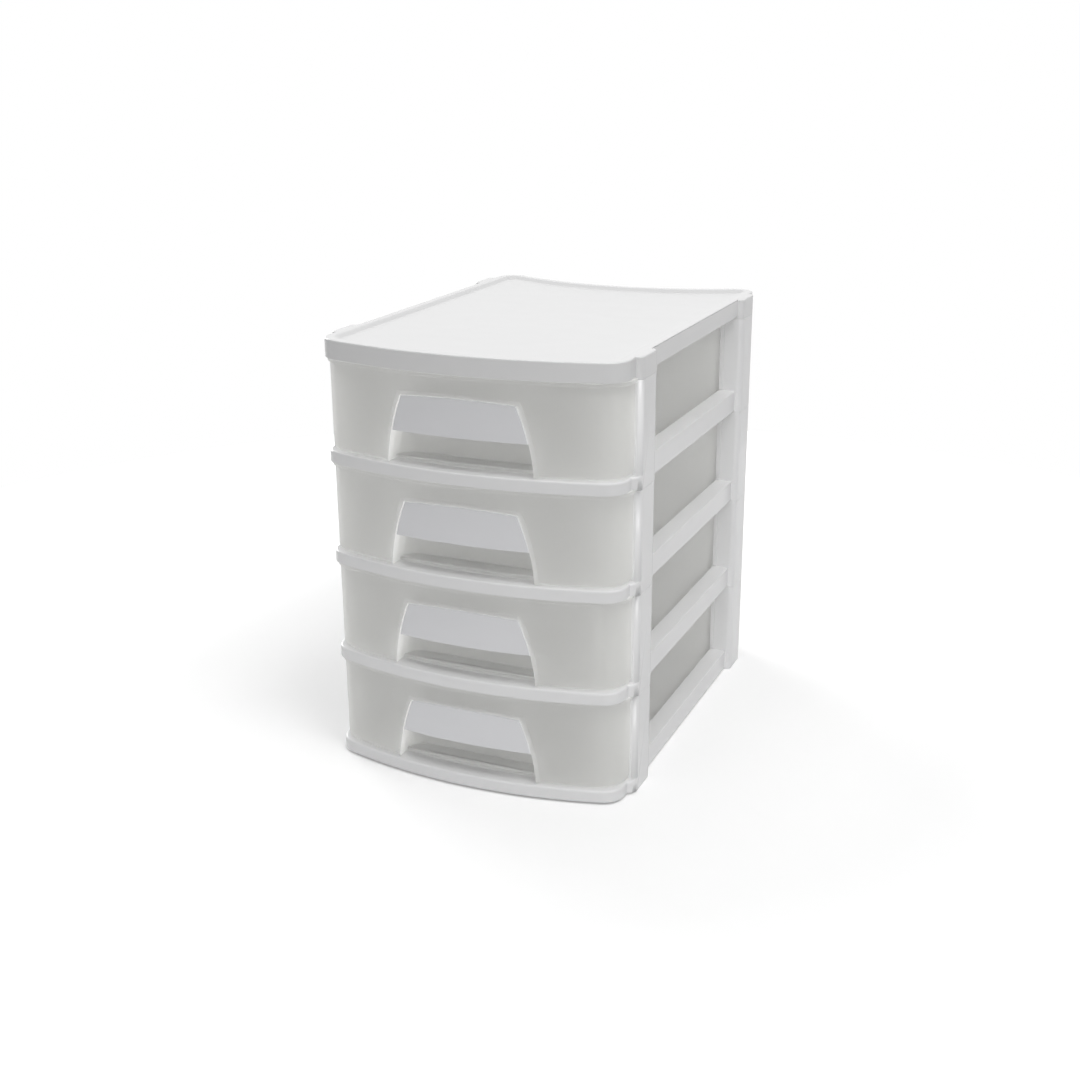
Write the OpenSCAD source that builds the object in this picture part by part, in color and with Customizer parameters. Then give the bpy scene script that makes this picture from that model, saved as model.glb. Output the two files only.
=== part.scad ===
// Desktop drawer tower: stacked tier frames with corner posts, a snap-on top cover, and one
// sliding tray with a finger recess and a clipped handle plate in every tier.
// Frame: X across, -Y is the front, +Z up; the origin is on the floor under the middle of the tower.

/* [Tower] */
// Width across the outer faces of the posts
tower_w = 184; // [170:1:220]
// Depth from the crown of the bowed front to the rear corners
tower_d = 255; // [230:1:300]
// Height of one tier, from post seam to post seam
tier_h = 59; // [52:0.5:80]
// Height of the top cover above the uppermost post seam
cover_h = 12; // [10:0.5:16]
// Wall thickness of the frames and the cover
frame_wall = 2; // [1.6:0.1:2.6]

/* [Plan outline] */
// Radius of the bowed front
bow_r = 280; // [200:5:400]
// Radius of the two front corners
front_corner_r = 13; // [9:0.5:15]
// Radius of the two rear corners
rear_corner_r = 10.5; // [8:0.5:14]
// Depth of the hollow curve in the rear edge
rear_hollow = 18.5; // [12:0.5:22]
// How far the posts stand proud of the side faces
post_proud = 3.5; // [1.5:0.25:4]
// Length of a post from front to back
post_l = 23.5; // [20:0.5:30]
// Width of a post from side to side
post_w = 14; // [12.5:0.5:16]
// Distance from the crown of the front to the front posts
front_post_setback = 32; // [30:0.5:38]
// Distance from the rear corners to the back of the rear posts
rear_post_setback = 17; // [15:0.5:22]
// Radius of the upright edges of the posts
post_edge_r = 3.2; // [1:0.1:3.4]
// Length of the toes that the front posts have level with the rim
toe_l = 5; // [3:0.5:6]
// Radius of the toes' front corners
toe_r = 5.5; // [4:0.5:6]

/* [Shelf and rails] */
// Height of the shelf's top face above the post seam
shelf_top = 8.3; // [7.5:0.1:10]
// Thickness of the shelf plate
shelf_t = 2; // [1.6:0.1:2.6]
// Gap between a post seam and the bottom edge of the front and rear rims
rim_rise = 1.4; // [0.8:0.1:2]
// Height of the side rails' ledge above the post seam
rail_top = 13.4; // [12:0.1:16]
// Height of the side rails' bottom edge above the post seam
rail_rise = 0.7; // [0.4:0.1:1.5]
// Height of the spigot on a post that plugs into the post above
spigot_h = 5; // [3:0.5:6]
// Clearance all round a spigot in its socket
spigot_clear = 0.3; // [0.2:0.05:0.5]

/* [Top cover] */
// Thickness of the cover's top plate
cover_t = 2; // [1.6:0.1:2.6]
// Width of the raised border round the cover's panel
border_w = 5; // [3:0.5:10]
// Depth of the sunken panel below the border
panel_drop = 1.5; // [0.8:0.1:2]

/* [Drawer] */
// Wall and floor thickness of a drawer
drawer_wall = 1.8; // [1.4:0.1:2.4]
// How far the drawer's front lies back from the face of the rim
front_inset = 2.4; // [1.8:0.1:3.5]
// How far the sides of the drawer's front lie back from the side faces of the rim
head_inset = 0.2; // [0:0.1:2]
// Radius of the upright corners of the drawer's front
head_corner_r = 17; // [11:0.5:18]
// How far the flange along the drawer's top edge stands out
flange_proud = 1.2; // [0.6:0.1:1.5]
// Height of that flange
flange_h = 2.1; // [1.8:0.1:4]
// Running clearance between a drawer and its frame, above and below
run_clear = 0.3; // [0.2:0.05:0.5]
// Running clearance between a drawer's flange and the posts, on each side
side_clear = 0.5; // [0.3:0.05:1]
// Clearance behind the drawer's rear wall when it is shut
rear_clear = 4; // [3:0.5:8]
// Radius of the drawer's rear corners
drawer_corner_r = 12; // [8:1:16]
// How far a drawer slides out before its lugs meet the rim above
drawer_travel = 170; // [120:5:180]
// Height of the stop lugs above the drawer's top edge
lug_h = 3.4; // [2.4:0.1:3.8]
// Length of the stop lugs
lug_l = 4; // [3:0.5:6]

/* [Finger recess and handle plate] */
// Half width of the recess at the foot of the drawer
recess_half_foot = 42.8; // [38:0.2:48]
// Half width of the recess at its top corners
recess_half_top = 33.6; // [30:0.2:36]
// Outward bulge of the recess's sides
recess_side_bulge = 1.6; // [1:0.1:3]
// Upward bulge of the recess's top edge
recess_top_bulge = 1.3; // [0.8:0.1:3]
// Height of the recess's top corners above the post seam
recess_top = 46.5; // [44:0.5:48]
// Depth of the recess behind the crown of the drawer's front
recess_depth = 20; // [18:0.5:26]
// Radius of the recess's inner corners
recess_corner_r = 10; // [6:0.5:14]
// Width of the shelf that shows in front of the recess's floor
recess_floor_setback = 8; // [6:0.5:12]
// Height of the handle plate's bottom edge above the post seam
plate_bottom = 26.5; // [24:0.5:32]
// Thickness of the handle plate
plate_t = 2.2; // [1.8:0.1:3]
// Gap round the handle plate
plate_gap = 0.3; // [0.2:0.05:0.5]
// Width of the raised bezel round the recess
bezel_w = 2.2; // [1.5:0.1:3]
// How far the bezel stands out from the drawer's front
bezel_proud = 0.7; // [0.4:0.1:1]
// Radius of the pins that clip the handle plate to the drawer
pin_r = 2; // [1.5:0.1:2.5]
// Distance of each pin from the middle of the plate
pin_x = 22; // [16:1:26]
// How far the pins reach through the drawer
pin_end = 1.5; // [1:0.1:3]
// Clearance round a pin in its hole
pin_clear = 0.05; // [0.02:0.01:0.1]

/* [Hidden] */

tier_count = 4;
cut = 1;                                     // overshoot of a cutting shape past a face
frame_white = "whitesmoke";
milky_clear = [0.82, 0.84, 0.83, 0.7];

// sides of the tower
post_x = tower_w / 2;                        // outer face of the posts
side_x = post_x - post_proud;                // outer face of the rims and rails
inner_x = post_x - post_w;                   // inner face of the posts and rails
front_y = -tower_d / 2;
rear_y = tower_d / 2;
front_post_y = front_y + front_post_setback; // front face of the front posts
rear_post_y = rear_y - rear_post_setback;    // rear face of the rear posts
stack_top = tier_count * tier_h;
rear_post_arm_x = inner_x - 10;              // inner end of a rear post's arm behind the drawer
rail_y = front_post_y + post_l;              // rails run from the front posts to the rear ones
rail_l = rear_post_y - post_l - rail_y;

// circles of the plan outline: the bow, the front corners, the rear corners and the hollow
bow_c = [0, front_y + bow_r];
front_corner_c = corner_centre(side_x, front_corner_r, bow_r);
rear_corner_c = [side_x - rear_corner_r, rear_y - rear_corner_r];
hollow_y = rear_y - rear_hollow;
hollow_c = [0, (pow(rear_corner_c.x, 2) + pow(rear_corner_c.y, 2) - pow(rear_corner_r - hollow_y, 2))
               / (2 * (rear_corner_c.y + rear_corner_r - hollow_y))];
hollow_r = hollow_c.y - hollow_y;
hollow_end = atan2(rear_corner_c.y - hollow_c.y, rear_corner_c.x - hollow_c.x);

// drawer levels and faces, from the post seam below it and the middle of the tower
drawer_bottom = shelf_top + run_clear;
drawer_top = tier_h + rim_rise - run_clear;
drawer_side_x = inner_x - side_clear - flange_proud;
drawer_return_y = front_post_y - run_clear;
head_bow_r = bow_r - front_inset;
head_x = side_x - head_inset;
head_corner_c = corner_centre(head_x, head_corner_r, head_bow_r);
drawer_rear_y = hollow_y - frame_wall - rear_clear;
rim_back_y = bowed_y(frame_wall, drawer_side_x);
lug_y = rim_back_y + run_clear + drawer_travel;
recess_back_y = front_y + front_inset + recess_depth;
hood_front = front_inset + plate_t;          // depths of the hood's faces behind the rim's face
hood_back = hood_front + drawer_wall;
plate_proud = bezel_proud / 2;
pin_z = (plate_bottom + recess_top) / 2;

// points of an arc from angle a0 to a1 in n steps, without the first point where skip is 1
function arc_points(c, r, a0, a1, n, skip = 0) =
    [for (i = [skip : n]) let (a = a0 + (a1 - a0) * i / n) c + r * [cos(a), sin(a)]];
// a right half followed by its mirror image
function mirrored(half) = concat(half, [for (i = [len(half) - 1 : -1 : 0]) if (half[i].x > 0.001) [-half[i].x, half[i].y]]);

// middle of a front corner of radius r that touches the side at x and a bow of the given radius
function corner_centre(x, r, bow) = [x - r, bow_c.y - sqrt(pow(bow - r, 2) - pow(x - r, 2))];
// bowed front and right front corner, drawn inwards by d
function front_run(d, bow = bow_r, c = front_corner_c, r = front_corner_r) =
    let (end = atan2(c.y - bow_c.y, c.x - bow_c.x))
    concat(arc_points(bow_c, bow - d, -90, end, 14), arc_points(c, r - d, end, 0, 7, 1));
// right rear corner and the hollow of the rear edge, drawn inwards by d
function rear_run(d) = concat(arc_points(rear_corner_c, rear_corner_r - d, 0, hollow_end + 180, 9),
                              arc_points(hollow_c, hollow_r + d, hollow_end, -90, 12, 1));
// front-to-back place, at x across, of a bowed face that lies d behind the rim's face
function bowed_y(d, x) = bow_c.y - sqrt(pow(bow_r - d, 2) - pow(x, 2));

// whole outline of a shelf or cover without the posts
module deck_plan(d = 0) { polygon(mirrored(concat(front_run(d), rear_run(d)))); }

// a rectangle with two rounded outer corners, inset by d
module post_pad(y0, y1, d) {
    r = max(post_edge_r - d, 0.2);
    polygon(concat([[inner_x + d, y1 - d], [inner_x + d, y0 + d]],
                   arc_points([post_x - d - r, y0 + d + r], r, -90, 0, 4),
                   arc_points([post_x - d - r, y1 - d - r], r, 0, 90, 4)));
}

module front_post_plan(d = 0) { post_pad(front_post_y, front_post_y + post_l, d); }

// the rear post turns behind the drawer along the rear edge
module rear_post_plan(d = 0) {
    post_pad(rear_post_y - post_l, rear_post_y, d);
    intersection() {
        deck_plan(d);
        translate([rear_post_arm_x + d, hollow_y - frame_wall + d])
            square([side_x - rear_post_arm_x, rear_hollow + frame_wall]);
    }
}

module both_sides() {
    children();
    mirror([1, 0, 0]) children();
}

module post_plans(d = 0) {
    both_sides() {
        front_post_plan(d);
        rear_post_plan(d);
    }
}

// a hollow post, open below, with a spigot on its closed top
module posts() {
    difference() {
        union() {
            linear_extrude(tier_h) post_plans();
            linear_extrude(tier_h + spigot_h) post_plans(frame_wall + spigot_clear);
        }
        translate([0, 0, -cut])
            linear_extrude(tier_h + cut - frame_wall) post_plans(frame_wall);
        linear_extrude(tier_h + spigot_h - frame_wall) post_plans(2 * frame_wall + spigot_clear);
    }
}

// toe in front of the right front post, rounded off towards the rim
module toe_plan() {
    y0 = front_post_y - toe_l;
    x0 = min(side_x - frame_wall, post_x - toe_r);
    polygon(concat([[x0, front_post_y + post_edge_r], [x0, y0]],
                   arc_points([post_x - toe_r, y0 + toe_r], toe_r, -90, 0, 6, 1),
                   [[post_x, front_post_y + post_edge_r]]));
}

// the wall that hangs from a shelf or cover along its outline, from z0 up to z1
module rim_wall(z0, z1) {
    translate([0, 0, z0])
        linear_extrude(z1 - z0) difference() {
            deck_plan();
            deck_plan(frame_wall);
        }
}

// everything of the outline that lies in front of and behind the rails
module rim_zones() {
    translate([-tower_w, rail_y - tower_d, -cut]) cube([2 * tower_w, tower_d, tier_h]);
    translate([-tower_w, rail_y + rail_l, -cut]) cube([2 * tower_w, tower_d, tier_h]);
}

// side rail between the posts: a channel, open below, whose ledge shows beside the drawer
module rail() {
    translate([inner_x, rail_y, rail_rise]) cube([side_x - inner_x, rail_l, rail_top - rail_rise]);
}

// inside of the channel, and the space beside it below the shelf
module rail_hollow() {
    translate([inner_x + frame_wall, rail_y, -cut])
        cube([side_x - inner_x - 2 * frame_wall, rail_l, rail_top - frame_wall + cut]);
    translate([inner_x - cut, rail_y, -cut])
        cube([2 * frame_wall, rail_l, shelf_top - shelf_t + cut]);
}

// a shelf on four posts; the sockets stay clear for the spigots of the tier below
module tier_frame() {
    color(frame_white) {
        posts();
        difference() {
            union() {
                translate([0, 0, shelf_top - shelf_t]) linear_extrude(shelf_t) deck_plan(frame_wall / 2);
                intersection() {
                    rim_wall(rim_rise, shelf_top);
                    rim_zones();
                }
                translate([0, 0, rim_rise]) linear_extrude(shelf_top - rim_rise) both_sides() toe_plan();
                intersection() {
                    rim_wall(shelf_top - shelf_t, rail_top);
                    translate([-tower_w, rail_y + rail_l, 0]) cube([2 * tower_w, tower_d, tier_h]);
                }
                both_sides() rail();
            }
            both_sides() rail_hollow();
            translate([0, 0, -cut]) linear_extrude(tier_h) post_plans(frame_wall);
        }
    }
}

module top_cover() {
    color(frame_white) translate([0, 0, stack_top]) {
        difference() {
            union() {
                linear_extrude(cover_h) post_plans();
                translate([0, 0, cover_h - cover_t - panel_drop]) linear_extrude(cover_t + panel_drop) deck_plan();
                rim_wall(rim_rise, cover_h);
            }
            translate([0, 0, -cut]) linear_extrude(cover_h - panel_drop - cover_t + cut) post_plans(frame_wall);
            translate([0, 0, cover_h - panel_drop]) linear_extrude(panel_drop + cut) deck_plan(border_w);
        }
    }
}

// outline of a drawer, wide in front of the posts and narrow between them, drawn inwards by d;
// where d draws it outwards, the return in front of the posts stays where it is
module drawer_plan(d = 0) {
    corner_c = [drawer_side_x - drawer_corner_r, drawer_rear_y - drawer_corner_r];
    return_y = drawer_return_y - max(d, 0);
    intersection() {
        polygon(mirrored(concat(front_run(d, head_bow_r, head_corner_c, head_corner_r), [[head_x - d, 0]])));
        translate([-tower_w, front_y - cut]) square([2 * tower_w, return_y - front_y + cut]);
    }
    polygon(mirrored(concat(
        [[0, return_y - cut], [drawer_side_x - d, return_y - cut]],
        arc_points(corner_c, drawer_corner_r - d, 0, 90, 8),
        [[0, drawer_rear_y - d]])));
}

// front view of the recess, grown outwards by g, from z0 upwards
module recess_face(g = 0, z0 = 0) {
    foot = [recess_half_foot + g, shelf_top];
    top = [recess_half_top + g, recess_top + g];
    side = top - foot;
    side_n = [side.y, -side.x] / norm(side);
    steps = 8;
    side_curve = [for (i = [0 : steps]) let (t = i / steps) foot + side * t + side_n * recess_side_bulge * 4 * t * (1 - t)];
    top_curve = [for (i = [1 : steps]) let (t = i / steps) [top.x * (1 - t), top.y + recess_top_bulge * (1 - pow(1 - t, 2))]];
    intersection() {
        polygon(mirrored(concat([[0, shelf_top - tier_h], [foot.x, shelf_top - tier_h]], side_curve, top_curve)));
        translate([-tower_w, z0]) square([2 * tower_w, 2 * tier_h]);
    }
}

module recess_prism(y0, y1, g = 0, z0 = 0) {
    translate([0, y1, 0]) rotate([90, 0, 0]) linear_extrude(y1 - y0) recess_face(g, z0);
}

// plan of the recess: the bow in front, rounded corners behind, grown outwards by g
module recess_plan(g = 0) {
    r = recess_corner_r + g;
    back_y = recess_back_y + g;
    corner_x = recess_half_foot + g - r;
    polygon(mirrored(concat([[0, front_y - tower_d], [recess_half_foot + g, front_y - tower_d]],
                            arc_points([corner_x, back_y - r], r, 0, 90, 7))));
}

module recess_space(g = 0) {
    intersection() {
        recess_prism(front_y - cut, recess_back_y + g + cut, g);
        translate([0, 0, -tier_h]) linear_extrude(3 * tier_h) recess_plan(g);
    }
}

// a bowed layer between two depths behind the rim's face
module bowed_layer(d0, d1) {
    difference() {
        translate([bow_c.x, bow_c.y, 0]) cylinder(r = bow_r - d0, h = 2 * tier_h, $fn = 360);
        translate([bow_c.x, bow_c.y, -cut]) cylinder(r = bow_r - d1, h = 2 * tier_h + 2 * cut, $fn = 360);
    }
}

// pins that run from inside the handle plate through the hood behind it
module pins(r) {
    y0 = bowed_y(hood_front - plate_t / 2, pin_x);
    y1 = bowed_y(hood_back + pin_end, pin_x);
    for (x = [-pin_x, pin_x])
        translate([x, y1, pin_z]) rotate([90, 0, 0]) cylinder(r = r, h = y1 - y0, $fn = 32);
}

// drawer tray in its own tier, measured from the post seam
module drawer() {
    color(milky_clear) {
        difference() {
            union() {
                // walls and top flange
                translate([0, 0, drawer_bottom]) linear_extrude(drawer_top - drawer_bottom) drawer_plan();
                translate([0, 0, drawer_top - flange_h]) linear_extrude(flange_h) drawer_plan(-flange_proud);
                intersection() {
                    recess_prism(front_y - cut, front_post_y, bezel_w, drawer_bottom);
                    bowed_layer(front_inset - bezel_proud, hood_back);
                }
            }
            // inside of the tray, all but the housing of the recess
            difference() {
                translate([0, 0, drawer_bottom + drawer_wall]) linear_extrude(tier_h) drawer_plan(drawer_wall);
                recess_space(drawer_wall);
            }
            // recess, open in front and below its setback floor
            difference() {
                recess_space();
                recess_floor();
                hood();
            }
            pins(pin_r + pin_clear);
        }
        // stop lugs on the side walls
        both_sides()
            translate([drawer_side_x - drawer_wall, lug_y, drawer_top - cut]) cube([drawer_wall, lug_l, lug_h + cut]);
    }
}

// floor of the recess, set back behind the rim
module recess_floor() {
    difference() {
        translate([-tower_w, front_y, drawer_bottom - cut]) cube([2 * tower_w, tower_d, drawer_wall + cut]);
        bowed_layer(-cut, front_inset + recess_floor_setback);
    }
}

// skin that closes the upper half of the recess and carries the handle plate
module hood() {
    intersection() {
        recess_prism(front_y - cut, front_post_y, 0, plate_bottom);
        bowed_layer(hood_front, hood_back);
    }
}

module handle_plate() {
    color(frame_white) {
        intersection() {
            recess_prism(front_y - cut, front_post_y, -plate_gap, plate_bottom);
            bowed_layer(front_inset - plate_proud, hood_front);
        }
        pins(pin_r);
    }
}

// tiers are counted from the top, so tier 1 stands highest
module in_tier(k) { translate([0, 0, (tier_count - k) * tier_h]) children(); }

top_cover();
in_tier(1) tier_frame();  // tier_frame_1
in_tier(2) tier_frame();  // tier_frame_2
in_tier(3) tier_frame();  // tier_frame_3
in_tier(4) tier_frame();  // tier_frame_4
in_tier(1) drawer();  // drawer_1
in_tier(2) drawer();  // drawer_2
in_tier(3) drawer();  // drawer_3
in_tier(4) drawer();  // drawer_4
in_tier(1) handle_plate();  // handle_plate_1
in_tier(2) handle_plate();  // handle_plate_2
in_tier(3) handle_plate();  // handle_plate_3
in_tier(4) handle_plate();  // handle_plate_4
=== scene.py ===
"""Looks of the desktop drawer tower: rounded mouldings, plastics, floor, light and camera."""
import math

import bmesh
import bpy
from mathutils import Matrix, Vector


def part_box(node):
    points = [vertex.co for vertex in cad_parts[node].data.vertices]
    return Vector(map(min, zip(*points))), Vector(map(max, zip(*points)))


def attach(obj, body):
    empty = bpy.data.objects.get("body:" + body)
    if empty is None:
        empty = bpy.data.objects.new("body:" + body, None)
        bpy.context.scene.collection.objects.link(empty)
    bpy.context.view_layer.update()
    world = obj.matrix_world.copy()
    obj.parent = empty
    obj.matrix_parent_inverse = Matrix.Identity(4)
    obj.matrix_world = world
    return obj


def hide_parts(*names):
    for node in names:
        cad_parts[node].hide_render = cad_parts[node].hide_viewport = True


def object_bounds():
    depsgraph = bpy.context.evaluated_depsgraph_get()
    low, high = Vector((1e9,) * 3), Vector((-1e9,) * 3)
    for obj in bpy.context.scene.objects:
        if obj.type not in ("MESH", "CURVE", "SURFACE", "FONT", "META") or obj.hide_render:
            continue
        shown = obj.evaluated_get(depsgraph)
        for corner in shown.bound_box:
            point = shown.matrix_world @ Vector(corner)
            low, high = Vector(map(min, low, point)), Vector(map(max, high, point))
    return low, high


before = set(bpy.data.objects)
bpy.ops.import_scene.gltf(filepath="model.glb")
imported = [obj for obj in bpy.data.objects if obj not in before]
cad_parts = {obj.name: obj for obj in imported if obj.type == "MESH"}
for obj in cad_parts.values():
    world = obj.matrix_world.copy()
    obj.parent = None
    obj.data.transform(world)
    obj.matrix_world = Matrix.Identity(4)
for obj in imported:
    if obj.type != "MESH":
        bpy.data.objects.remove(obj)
cad_low, cad_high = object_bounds()

MM = 0.001
TIERS = (1, 2, 3, 4)

# ---------------------------------------------------------------- sizes read from the frame
cover_low, cover_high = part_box("top_cover")
post_x = cover_high.x                       # outer face of the posts
cover_top = cover_high.z                    # top of the cover's border
cover_bottom = cover_low.z                  # uppermost post seam
tier_h = cover_bottom / len(TIERS)
top_tray_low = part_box("drawer_1")[0]
drawer_foot = top_tray_low.z - (cover_bottom - tier_h)      # underside of a drawer above its seam

# ---------------------------------------------------------------- sizes of the mouldings
RUN_CLEAR = 0.3 * MM                        # gap between a shelf and the drawer on it
FRONT_POST_Y = cad_low.y + 32 * MM          # front face of the front posts
POST_EDGE = 3.2 * MM                        # radius of the posts' upright edges
TOE = 2.7 * MM                              # straight end of a toe beside its post
REAR_POST_Y = cad_high.y - 40.5 * MM        # front face of the rear posts
POST_INNER_X = post_x - 14 * MM             # inner face of the posts
RAIL_TOP = 13.4 * MM                        # ledge of the side rails above the post seam
RECESS_X = 46 * MM                          # half width of the recess with its bezel
FRONT_FACE_Y = cad_low.y + 7.5 * MM         # the drawer's front lies before this
RECESS_FLOOR_SETBACK = 8 * MM               # the front edge of the recess's floor lies before that
BEZEL_PROUD = 0.7 * MM                      # step from a drawer's front to its recess's bezel
BOW_R = 280 * MM                            # radius of the bowed front
FRONT_INSET = 2.4 * MM                      # a drawer's front lies this far behind the rims
SKIRT_LEAST = 5 * MM                        # a face of the cover's skirt is higher than this
PAD_REACH = 6 * MM                          # the posts' outer faces stand out within this of post_x

# ---------------------------------------------------------------- sizes of the finish
SHARP = math.radians(35)                    # edges folded more than this are rounded
COPLANAR = math.radians(0.3)                # faces flatter than this are joined
WELD = 0.002 * MM
ROOM = 1.5                                  # least width of a face beside an edge, in roundings
NEAR = 0.05 * MM                            # points this near to a height count as on it
SMALL_EDGE = 0.32 * MM                      # rounding of every remaining edge
PAD_EDGE = 0.2 * MM                         # rounding where the posts step out of the sides
PANEL_DROP = 1.5 * MM                       # depth of the cover's panel below its border
PANEL_SLOPE = 3.2 * MM                      # width of the slope round that panel
COVER_EDGE = 0.8 * MM                       # rounding of the cover's upper rim
COVER_EDGE_STEPS = 4
RIM_EDGE = 1.2 * MM                         # rounding of the upper edge of the front rims
RIM_EDGE_STEPS = 4
FOOT_EDGE = 2.5 * MM                        # rounding round the foot of a drawer
FOOT_EDGE_STEPS = 5
LIP_WIDTH = 2.5 * MM                        # rib down the inner edge of a rear post
LIP_PROUD = 0.8 * MM
LIP_END = 0.5 * MM                          # gap between the rib's ends and the ledges


def seam(tier):
    """Height of the post seam below a tier; tier 1 stands highest."""
    return (len(TIERS) - tier) * tier_h


# ---------------------------------------------------------------- limits on directions
ALONG = 0.99                                # a direction with more than this on an axis runs along it
LEANING = 0.15                              # an upright face's normal has less than this in height
SKIRT_LEANING = 0.1                         # the same for the cover's skirt
TRAY_FRONT = 0.9                            # a drawer's front has more than this towards the front
STEP_SIDE = 0.5                             # the side of a step has less than this towards the front


# ---------------------------------------------------------------- mesh tools
def solid_of(node):
    """A welded copy of a CAD node's mesh with its flat faces whole."""
    bm = bmesh.new()
    bm.from_mesh(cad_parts[node].data)
    bmesh.ops.remove_doubles(bm, verts=bm.verts, dist=WELD)
    bmesh.ops.dissolve_limit(bm, angle_limit=COPLANAR, verts=bm.verts, edges=bm.edges)
    bmesh.ops.recalc_face_normals(bm, faces=bm.faces)
    return bm


def folded(edge):
    return len(edge.link_faces) == 2 and edge.calc_face_angle(0.0) > SHARP


def middle(edge):
    return (edge.verts[0].co + edge.verts[1].co) / 2


def upright(edge):
    return abs((edge.verts[0].co - edge.verts[1].co).normalized().z) > ALONG


def level(edge, z):
    return all(abs(v.co.z - z) < NEAR for v in edge.verts)


def roomy(edge, width):
    """True where the faces beside an edge are wide enough for its rounding."""
    return all(f.calc_area() > ROOM * width * edge.calc_length() for f in edge.link_faces)


def round_edges(bm, wanted, width, segments=3):
    """Rounds the folded edges that wanted() picks, where there is room for it."""
    edges = [e for e in bm.edges if folded(e) and roomy(e, width) and wanted(e)]
    if edges:
        bmesh.ops.bevel(bm, geom=edges, offset=width, offset_type="OFFSET", segments=segments,
                        profile=0.5, affect="EDGES", clamp_overlap=False)


def cut(bm, faces, place, normal):
    """Cuts some faces along a plane and leaves the rest of the mesh as it is."""
    edges = {e for f in faces for e in f.edges}
    verts = {v for f in faces for v in f.verts}
    bmesh.ops.bisect_plane(bm, geom=[*faces, *edges, *verts], plane_co=place, plane_no=normal,
                           dist=WELD)


def outward(face):
    """True on an upright face that looks away from the middle of the tower."""
    place = face.calc_center_median()
    away = face.normal.x * place.x + face.normal.y * place.y > 0
    return abs(face.normal.z) < LEANING and away


def roll_in(bm, skin, z_edge, side, radius, steps, strength=None):
    """Rounds the edge between upright faces and the level face at z_edge.

    skin() picks the upright faces, which stand above z_edge where side is 1 and hang below it where
    side is -1. They are cut into rows, and the rows bend in towards the level face. strength() gives
    how much of that a point gets.
    """
    angles = [math.radians(90) * i / steps for i in range(steps, 0, -1)]
    for angle in angles:
        faces = [f for f in bm.faces if skin(f)
                 and any(abs(v.co.z - z_edge) < WELD for v in f.verts)
                 and side * (f.calc_center_median().z - z_edge) > 0]
        height = z_edge + side * radius * (1 - math.cos(angle))
        cut(bm, faces, (0, 0, height), (0, 0, 1))
    bm.normal_update()
    looks = {}
    for f in bm.faces:
        if skin(f) and 0 < side * (f.calc_center_median().z - z_edge) < radius:
            for v in f.verts:
                known = looks.setdefault(v, [])
                if all(f.normal.angle(n) > COPLANAR for n in known):
                    known.append(f.normal.copy())
    for v, normals in looks.items():
        near = 1 - min(abs(v.co.z - z_edge) / radius, 1)
        inset = radius * (1 - math.sqrt(1 - near ** 2))
        way = sum(normals, Vector()).normalized()
        v.co -= way * inset / way.dot(normals[0]) * (strength(v.co) if strength else 1)


NORMAL_WEIGHT = 60                          # how far large faces lead the shading


def as_piece(bm, name, body, nodes, material):
    """Turns a mesh into a piece that rides on a body and stands for CAD nodes."""
    bmesh.ops.recalc_face_normals(bm, faces=bm.faces)
    mesh = bpy.data.meshes.new(name)
    bm.to_mesh(mesh)
    bm.free()
    mesh.polygons.foreach_set("use_smooth", [True] * len(mesh.polygons))
    piece = bpy.data.objects.new(name, mesh)
    bpy.context.scene.collection.objects.link(piece)
    mesh.materials.append(material)
    normals = piece.modifiers.new("even_normals", "WEIGHTED_NORMAL")
    normals.weight = NORMAL_WEIGHT
    normals.keep_sharp = True
    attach(piece, body)
    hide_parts(*nodes)
    return piece


# ---------------------------------------------------------------- node tools
NOISE_LOW = 0.3                             # middle range of a noise
NOISE_HIGH = 0.7
MOTTLE_SCALE = 9.0                          # noises per metre: colour, waviness and gloss
WAVE_SCALE = 24.0
GLOSS_SCALE = 30.0
WAVE_STRENGTH = 0.5
WAVE_DEPTH = 0.02 * MM


def new_material(name):
    material = bpy.data.materials.new(name)
    material.use_nodes = True
    tree = material.node_tree
    tree.nodes.clear()
    return material, tree


def noise(tree, coords, scale, detail):
    node = tree.nodes.new("ShaderNodeTexNoise")
    node.inputs["Scale"].default_value = scale
    node.inputs["Detail"].default_value = detail
    tree.links.new(coords, node.inputs["Vector"])
    return node.outputs["Fac"]


def spread(tree, source, low, high):
    """Maps a noise from its middle range to low .. high."""
    node = tree.nodes.new("ShaderNodeMapRange")
    node.inputs["From Min"].default_value = NOISE_LOW
    node.inputs["From Max"].default_value = NOISE_HIGH
    node.inputs["To Min"].default_value = low
    node.inputs["To Max"].default_value = high
    tree.links.new(source, node.inputs["Value"])
    return node.outputs["Result"]


def tint(tree, source, first, second):
    """A colour between two shades, led by a noise."""
    node = tree.nodes.new("ShaderNodeMix")
    node.data_type = "RGBA"
    shades = [s for s in node.inputs if s.type == "RGBA"]
    shades[0].default_value = (*first, 1)
    shades[1].default_value = (*second, 1)
    tree.links.new(spread(tree, source, 0.0, 1.0), node.inputs["Factor"])
    return [s for s in node.outputs if s.type == "RGBA"][0]


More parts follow.
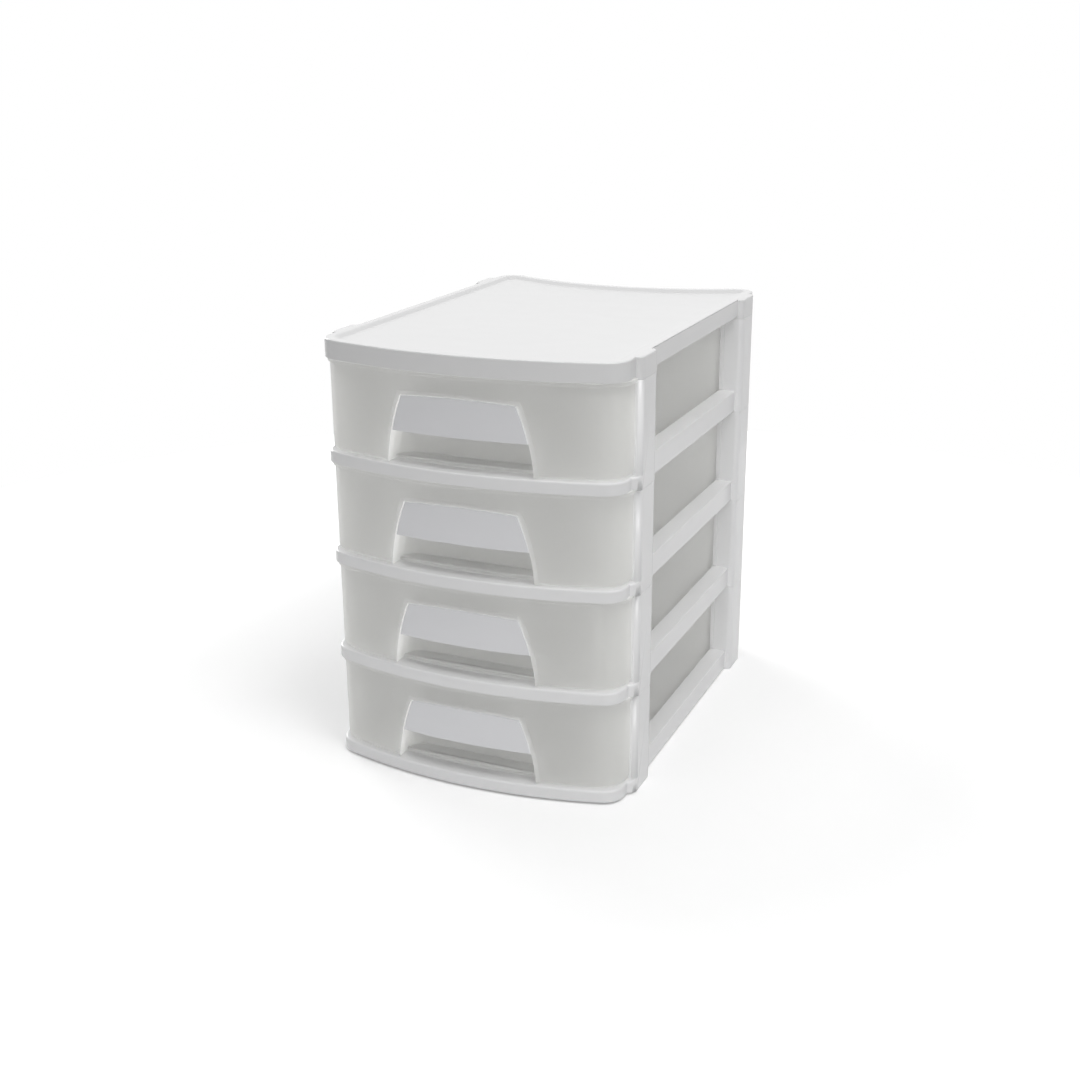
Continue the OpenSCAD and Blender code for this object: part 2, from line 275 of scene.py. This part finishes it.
def plastic(name, light, dark, gloss, ior=1.49, through=0.0, clear=0.0):
    """Moulded plastic: faint mottling, uneven gloss and a slight waviness of the skin.

    through is the share of the light that passes the wall softly, and clear the share that is seen
    through.
    """
    material, tree = new_material(name)
    coords = tree.nodes.new("ShaderNodeTexCoord").outputs["Object"]
    colour = tint(tree, noise(tree, coords, MOTTLE_SCALE, 1.0), dark, light)
    bump = tree.nodes.new("ShaderNodeBump")
    bump.inputs["Strength"].default_value = WAVE_STRENGTH
    bump.inputs["Distance"].default_value = WAVE_DEPTH
    tree.links.new(noise(tree, coords, WAVE_SCALE, 1.0), bump.inputs["Height"])
    shader = tree.nodes.new("ShaderNodeBsdfPrincipled")
    shader.inputs["IOR"].default_value = ior
    tree.links.new(colour, shader.inputs["Base Color"])
    tree.links.new(spread(tree, noise(tree, coords, GLOSS_SCALE, 2.0), gloss[0], gloss[1]),
                   shader.inputs["Roughness"])
    tree.links.new(bump.outputs["Normal"], shader.inputs["Normal"])
    surface = shader.outputs["BSDF"]
    if through:
        glow = tree.nodes.new("ShaderNodeBsdfTranslucent")
        tree.links.new(colour, glow.inputs["Color"])
        tree.links.new(bump.outputs["Normal"], glow.inputs["Normal"])
        surface = blend(tree, through, surface, glow.outputs["BSDF"])
    if clear:
        open_air = tree.nodes.new("ShaderNodeBsdfTransparent")
        surface = blend(tree, clear, surface, open_air.outputs["BSDF"])
    output = tree.nodes.new("ShaderNodeOutputMaterial")
    tree.links.new(surface, output.inputs["Surface"])
    return material


def blend(tree, share, first, second):
    """A mix of two shaders, with this share of the second."""
    mix = tree.nodes.new("ShaderNodeMixShader")
    mix.inputs["Fac"].default_value = share
    tree.links.new(first, mix.inputs[1])
    tree.links.new(second, mix.inputs[2])
    return mix.outputs["Shader"]


# ---------------------------------------------------------------- materials
cover_white = plastic("cover_white", (0.79, 0.79, 0.792), (0.778, 0.778, 0.78), (0.2, 0.26))
frame_white = plastic("frame_white", (0.85, 0.85, 0.854), (0.838, 0.838, 0.843), (0.2, 0.26))
plate_white = plastic("handle_white", (0.8, 0.803, 0.822), (0.79, 0.793, 0.813), (0.2, 0.26))
drawer_milk = plastic("drawer_milk", (0.955, 0.955, 0.948), (0.95, 0.95, 0.943), (0.1, 0.13),
                      ior=1.8, through=0.88, clear=0.15)


# ---------------------------------------------------------------- cover
def make_cover():
    bm = solid_of("top_cover")
    panel = [v for v in bm.verts if abs(v.co.z - (cover_top - PANEL_DROP)) < NEAR]
    shifts = {}
    for v in panel:
        rim = [e for e in v.link_edges if level(e, v.co.z)]
        away = Vector((0, 0, 0))
        for e in rim:
            run = (e.other_vert(v).co - v.co).normalized()
            side = Vector((-run.y, run.x, 0))
            if side.dot(v.co) > 0:
                side = -side
            away += side
        shifts[v] = away.normalized() * PANEL_SLOPE
    for v, shift in shifts.items():
        v.co += shift
    round_edges(bm, lambda e: level(e, cover_top) and outside(e), COVER_EDGE, COVER_EDGE_STEPS)
    round_edges(bm, lambda e: upright(e) and outer_pad(e), PAD_EDGE)
    round_edges(bm, lambda e: True, SMALL_EDGE)
    return as_piece(bm, "cover_shell", "root", ["top_cover"], cover_white)


def outside(edge):
    """True on an edge between the cover's top and its outer face."""
    return any(abs(f.normal.z) < SKIRT_LEANING and
               max(v.co.z for v in f.verts) - min(v.co.z for v in f.verts) > SKIRT_LEAST
               for f in edge.link_faces)


def outer_pad(edge):
    """True on the upright edges where a post's outer face meets the side of the tower."""
    return abs(middle(edge).x) > post_x - PAD_REACH


# ---------------------------------------------------------------- frames
def make_frame(tier):
    node = f"tier_frame_{tier}"
    bm = solid_of(node)
    bm.normal_update()
    raise_lips(bm, tier)
    part_toes(bm)
    roll_in(bm, lambda f: outward(f) and f.calc_center_median().y < FRONT_POST_Y + POST_EDGE,
            seam(tier) + drawer_foot - RUN_CLEAR, -1, RIM_EDGE, RIM_EDGE_STEPS, toe_strength)
    round_edges(bm, lambda e: upright(e) and outer_pad(e), PAD_EDGE)
    round_edges(bm, lambda e: not at_toe_end(e), SMALL_EDGE)
    return as_piece(bm, f"frame_shell_{tier}", "root", [node], frame_white)


def raise_lips(bm, tier):
    """Raises a rib down the inner edge of each rear post's front face."""
    low = seam(tier) + RAIL_TOP + LIP_END
    high = seam(tier) + tier_h - LIP_END

    def post_fronts(on_lip):
        return [f for f in bm.faces if f.normal.y < -ALONG
                and abs(f.calc_center_median().y - REAR_POST_Y) < WELD
                and (not on_lip or abs(f.calc_center_median().x) < POST_INNER_X + LIP_WIDTH
                     and low < f.calc_center_median().z < high)]

    for x in (-1, 1):
        cut(bm, post_fronts(False), (x * (POST_INNER_X + LIP_WIDTH), 0, 0), (1, 0, 0))
    for z in (low, high):
        cut(bm, post_fronts(False), (0, 0, z), (0, 0, 1))
    grown = bmesh.ops.extrude_face_region(bm, geom=post_fronts(True))["geom"]
    for v in grown:
        if isinstance(v, bmesh.types.BMVert):
            v.co.y -= LIP_PROUD


def part_toes(bm):
    """Parts the outer side of each toe from the side of its post."""
    sides = [f for f in bm.faces if abs(f.normal.x) > ALONG
             and abs(abs(f.calc_center_median().x) - post_x) < WELD]
    cut(bm, sides, (0, FRONT_POST_Y + POST_EDGE, 0), (0, 1, 0))


def toe_strength(place):
    """1 on the rims, and down to 0 where a toe's top runs out at its post."""
    return min(max((FRONT_POST_Y + POST_EDGE - place.y) / TOE, 0), 1)


def at_toe_end(edge):
    """True where a toe's top runs out at its post, which is too narrow to round."""
    place = middle(edge)
    return (abs(place.x) > post_x - POST_EDGE and abs(place.y - FRONT_POST_Y) < POST_EDGE
            and not upright(edge))


# ---------------------------------------------------------------- drawers and handle plates
def make_drawer(tier):
    node = f"drawer_{tier}"
    bm = solid_of(node)
    bm.normal_update()
    slope_bezel(bm)
    roll_in(bm, tray_side, seam(tier) + drawer_foot, 1, FOOT_EDGE, FOOT_EDGE_STEPS)
    round_edges(bm, lambda e: True, SMALL_EDGE)
    return as_piece(bm, f"drawer_tray_{tier}", f"drawer_body_{tier}", [node],
                    drawer_milk)


def slope_bezel(bm):
    """Slopes the bezel round the recess off towards the drawer's front, without a step."""
    centre = Vector((0, cad_low.y + BOW_R, 0))
    wall_r = BOW_R - FRONT_INSET
    steps = [f for f in bm.faces
             if recessed(f.calc_center_median()) and abs(f.normal.y) < STEP_SIDE
             and max(v.co.y for v in f.verts) - min(v.co.y for v in f.verts) < 2 * BEZEL_PROUD
             and f.calc_center_median().y < FRONT_FACE_Y]
    for v in {v for f in steps for v in f.verts}:
        out = v.co - centre
        out.z = 0
        if out.length > wall_r + BEZEL_PROUD / 3:
            v.co -= out.normalized() * (out.length - wall_r)
    bmesh.ops.remove_doubles(bm, verts=bm.verts, dist=WELD)
    bmesh.ops.dissolve_degenerate(bm, dist=WELD, edges=bm.edges)
    bm.normal_update()


def recessed(place):
    """True at the recess and the bezel round it."""
    return abs(place.x) < RECESS_X and place.y < FRONT_FACE_Y + RECESS_FLOOR_SETBACK


def tray_side(face):
    """True on the outer faces of a tray, apart from those in its recess."""
    place = face.calc_center_median()
    in_front = face.normal.y < -TRAY_FRONT and place.y < FRONT_FACE_Y
    return outward(face) and (abs(place.x) > RECESS_X or in_front)


def make_plate(tier):
    node = f"handle_plate_{tier}"
    bm = solid_of(node)
    round_edges(bm, lambda e: True, SMALL_EDGE)
    return as_piece(bm, f"handle_cover_{tier}", f"drawer_body_{tier}", [node],
                    plate_white)


make_cover()
for tier in TIERS:
    make_frame(tier)
    make_drawer(tier)
    make_plate(tier)


# ---------------------------------------------------------------- floor
FLOOR_RADIUS = 0.7
FLOOR_CORNERS = 96
FLOOR_GREY = 0.95
SHADOW_REACH = 0.25                         # the floor's own glow grows from here outwards
GLOW_INSIDE = 0.2
GLOW_AT_EDGE = 0.6


def make_floor():
    mesh = bpy.data.meshes.new("floor")
    bm = bmesh.new()
    bmesh.ops.create_circle(bm, cap_ends=True, segments=FLOOR_CORNERS, radius=FLOOR_RADIUS)
    bm.to_mesh(mesh)
    bm.free()
    floor = bpy.data.objects.new("floor", mesh)
    bpy.context.scene.collection.objects.link(floor)
    material, tree = new_material("floor_white")
    diffuse = tree.nodes.new("ShaderNodeBsdfDiffuse")
    diffuse.inputs["Color"].default_value = (FLOOR_GREY, FLOOR_GREY, FLOOR_GREY, 1)
    away = tree.nodes.new("ShaderNodeVectorMath")
    away.operation = "LENGTH"
    tree.links.new(tree.nodes.new("ShaderNodeTexCoord").outputs["Object"], away.inputs[0])
    fade = tree.nodes.new("ShaderNodeMapRange")
    fade.inputs["From Min"].default_value = SHADOW_REACH
    fade.inputs["From Max"].default_value = FLOOR_RADIUS
    fade.inputs["To Min"].default_value = GLOW_INSIDE
    fade.inputs["To Max"].default_value = GLOW_AT_EDGE
    tree.links.new(away.outputs["Value"], fade.inputs["Value"])
    strength = tree.nodes.new("ShaderNodeMath")
    strength.operation = "MULTIPLY"
    tree.links.new(fade.outputs["Result"], strength.inputs[0])
    tree.links.new(seen_directly(tree, 1.0), strength.inputs[1])
    glow = tree.nodes.new("ShaderNodeEmission")
    tree.links.new(strength.outputs["Value"], glow.inputs["Strength"])
    both = tree.nodes.new("ShaderNodeAddShader")
    tree.links.new(diffuse.outputs["BSDF"], both.inputs[0])
    tree.links.new(glow.outputs["Emission"], both.inputs[1])
    output = tree.nodes.new("ShaderNodeOutputMaterial")
    tree.links.new(both.outputs["Shader"], output.inputs["Surface"])
    mesh.materials.append(material)


def seen_directly(tree, strength):
    """strength for camera, mirror and see-through rays, and 0 for the light on the object."""
    path = tree.nodes.new("ShaderNodeLightPath")
    total = path.outputs["Is Camera Ray"]
    for ray in ("Is Glossy Ray", "Is Transmission Ray"):
        join = tree.nodes.new("ShaderNodeMath")
        join.operation = "MAXIMUM"
        tree.links.new(total, join.inputs[0])
        tree.links.new(path.outputs[ray], join.inputs[1])
        total = join.outputs["Value"]
    scaled = tree.nodes.new("ShaderNodeMath")
    scaled.operation = "MULTIPLY"
    scaled.inputs[1].default_value = strength
    tree.links.new(total, scaled.inputs[0])
    return scaled.outputs["Value"]


make_floor()


# ---------------------------------------------------------------- light
def make_world():
    """White where it is seen, and an even grey for the light that falls on the object."""
    world = bpy.data.worlds.new("studio")
    bpy.context.scene.world = world
    world.use_nodes = True
    tree = world.node_tree
    tree.nodes.clear()
    most = tree.nodes.new("ShaderNodeMath")
    most.operation = "MAXIMUM"
    most.inputs[0].default_value = AMBIENT
    tree.links.new(seen_directly(tree, 1.0), most.inputs[1])
    background = tree.nodes.new("ShaderNodeBackground")
    background.inputs["Color"].default_value = (1, 1, 1, 1)
    tree.links.new(most.outputs["Value"], background.inputs["Strength"])
    output = tree.nodes.new("ShaderNodeOutputWorld")
    tree.links.new(background.outputs["Background"], output.inputs["Surface"])


def direction(azimuth, elevation):
    """Unit vector towards a place round the object; azimuth 0 is the front and 90 the right."""
    a, e = math.radians(azimuth), math.radians(elevation)
    return Vector((math.sin(a) * math.cos(e), -math.cos(a) * math.cos(e), math.sin(e)))


def softbox(name, azimuth, elevation, distance, size, share):
    """A round softbox; share is what it gives a surface that faces it, where 1 keeps white white."""
    lamp = bpy.data.lights.new(name, "AREA")
    lamp.shape = "DISK"
    lamp.size = size
    lamp.energy = share * (math.pi * distance) ** 2
    holder = bpy.data.objects.new(name, lamp)
    middle_point = (cad_low + cad_high) / 2
    holder.location = middle_point + direction(azimuth, elevation) * distance
    holder.rotation_euler = direction(azimuth, elevation).to_track_quat("Z", "Y").to_euler()
    bpy.context.scene.collection.objects.link(holder)


AMBIENT = 0.16
make_world()
softbox("overhead_softbox", 0, 90, 1.5, 1.2, 0.34)
softbox("right_softbox", 62, 62, 1.8, 0.9, 0.40)
softbox("front_softbox", 18, 8, 2.2, 0.8, 0.15)
softbox("rear_softbox", 238, 14, 2.0, 1.2, 0.50)


# ---------------------------------------------------------------- camera
SENSOR_WIDTH = 36.0                         # in millimetres, as is the lens
LENS = 48.646
CAMERA_PLACE = (0.33640, -0.78348, 0.40159)
CAMERA_TURN = 23.705                        # in degrees, as are the next two
CAMERA_DOWN = 19.025
CAMERA_ROLL = -0.352


def make_camera():
    data = bpy.data.cameras.new("photo_view")
    data.sensor_width = SENSOR_WIDTH
    data.lens = LENS
    camera = bpy.data.objects.new("photo_view", data)
    turn = Matrix.Rotation(math.radians(CAMERA_TURN), 3, "Z")
    tilt = Matrix.Rotation(math.radians(90 - CAMERA_DOWN), 3, "X")
    roll = Matrix.Rotation(math.radians(CAMERA_ROLL), 3, "Z")
    camera.matrix_world = (turn @ tilt @ roll).to_4x4()
    camera.location = CAMERA_PLACE
    bpy.context.scene.collection.objects.link(camera)
    bpy.context.scene.camera = camera


make_camera()
bpy.context.scene.view_settings.view_transform = "Standard"
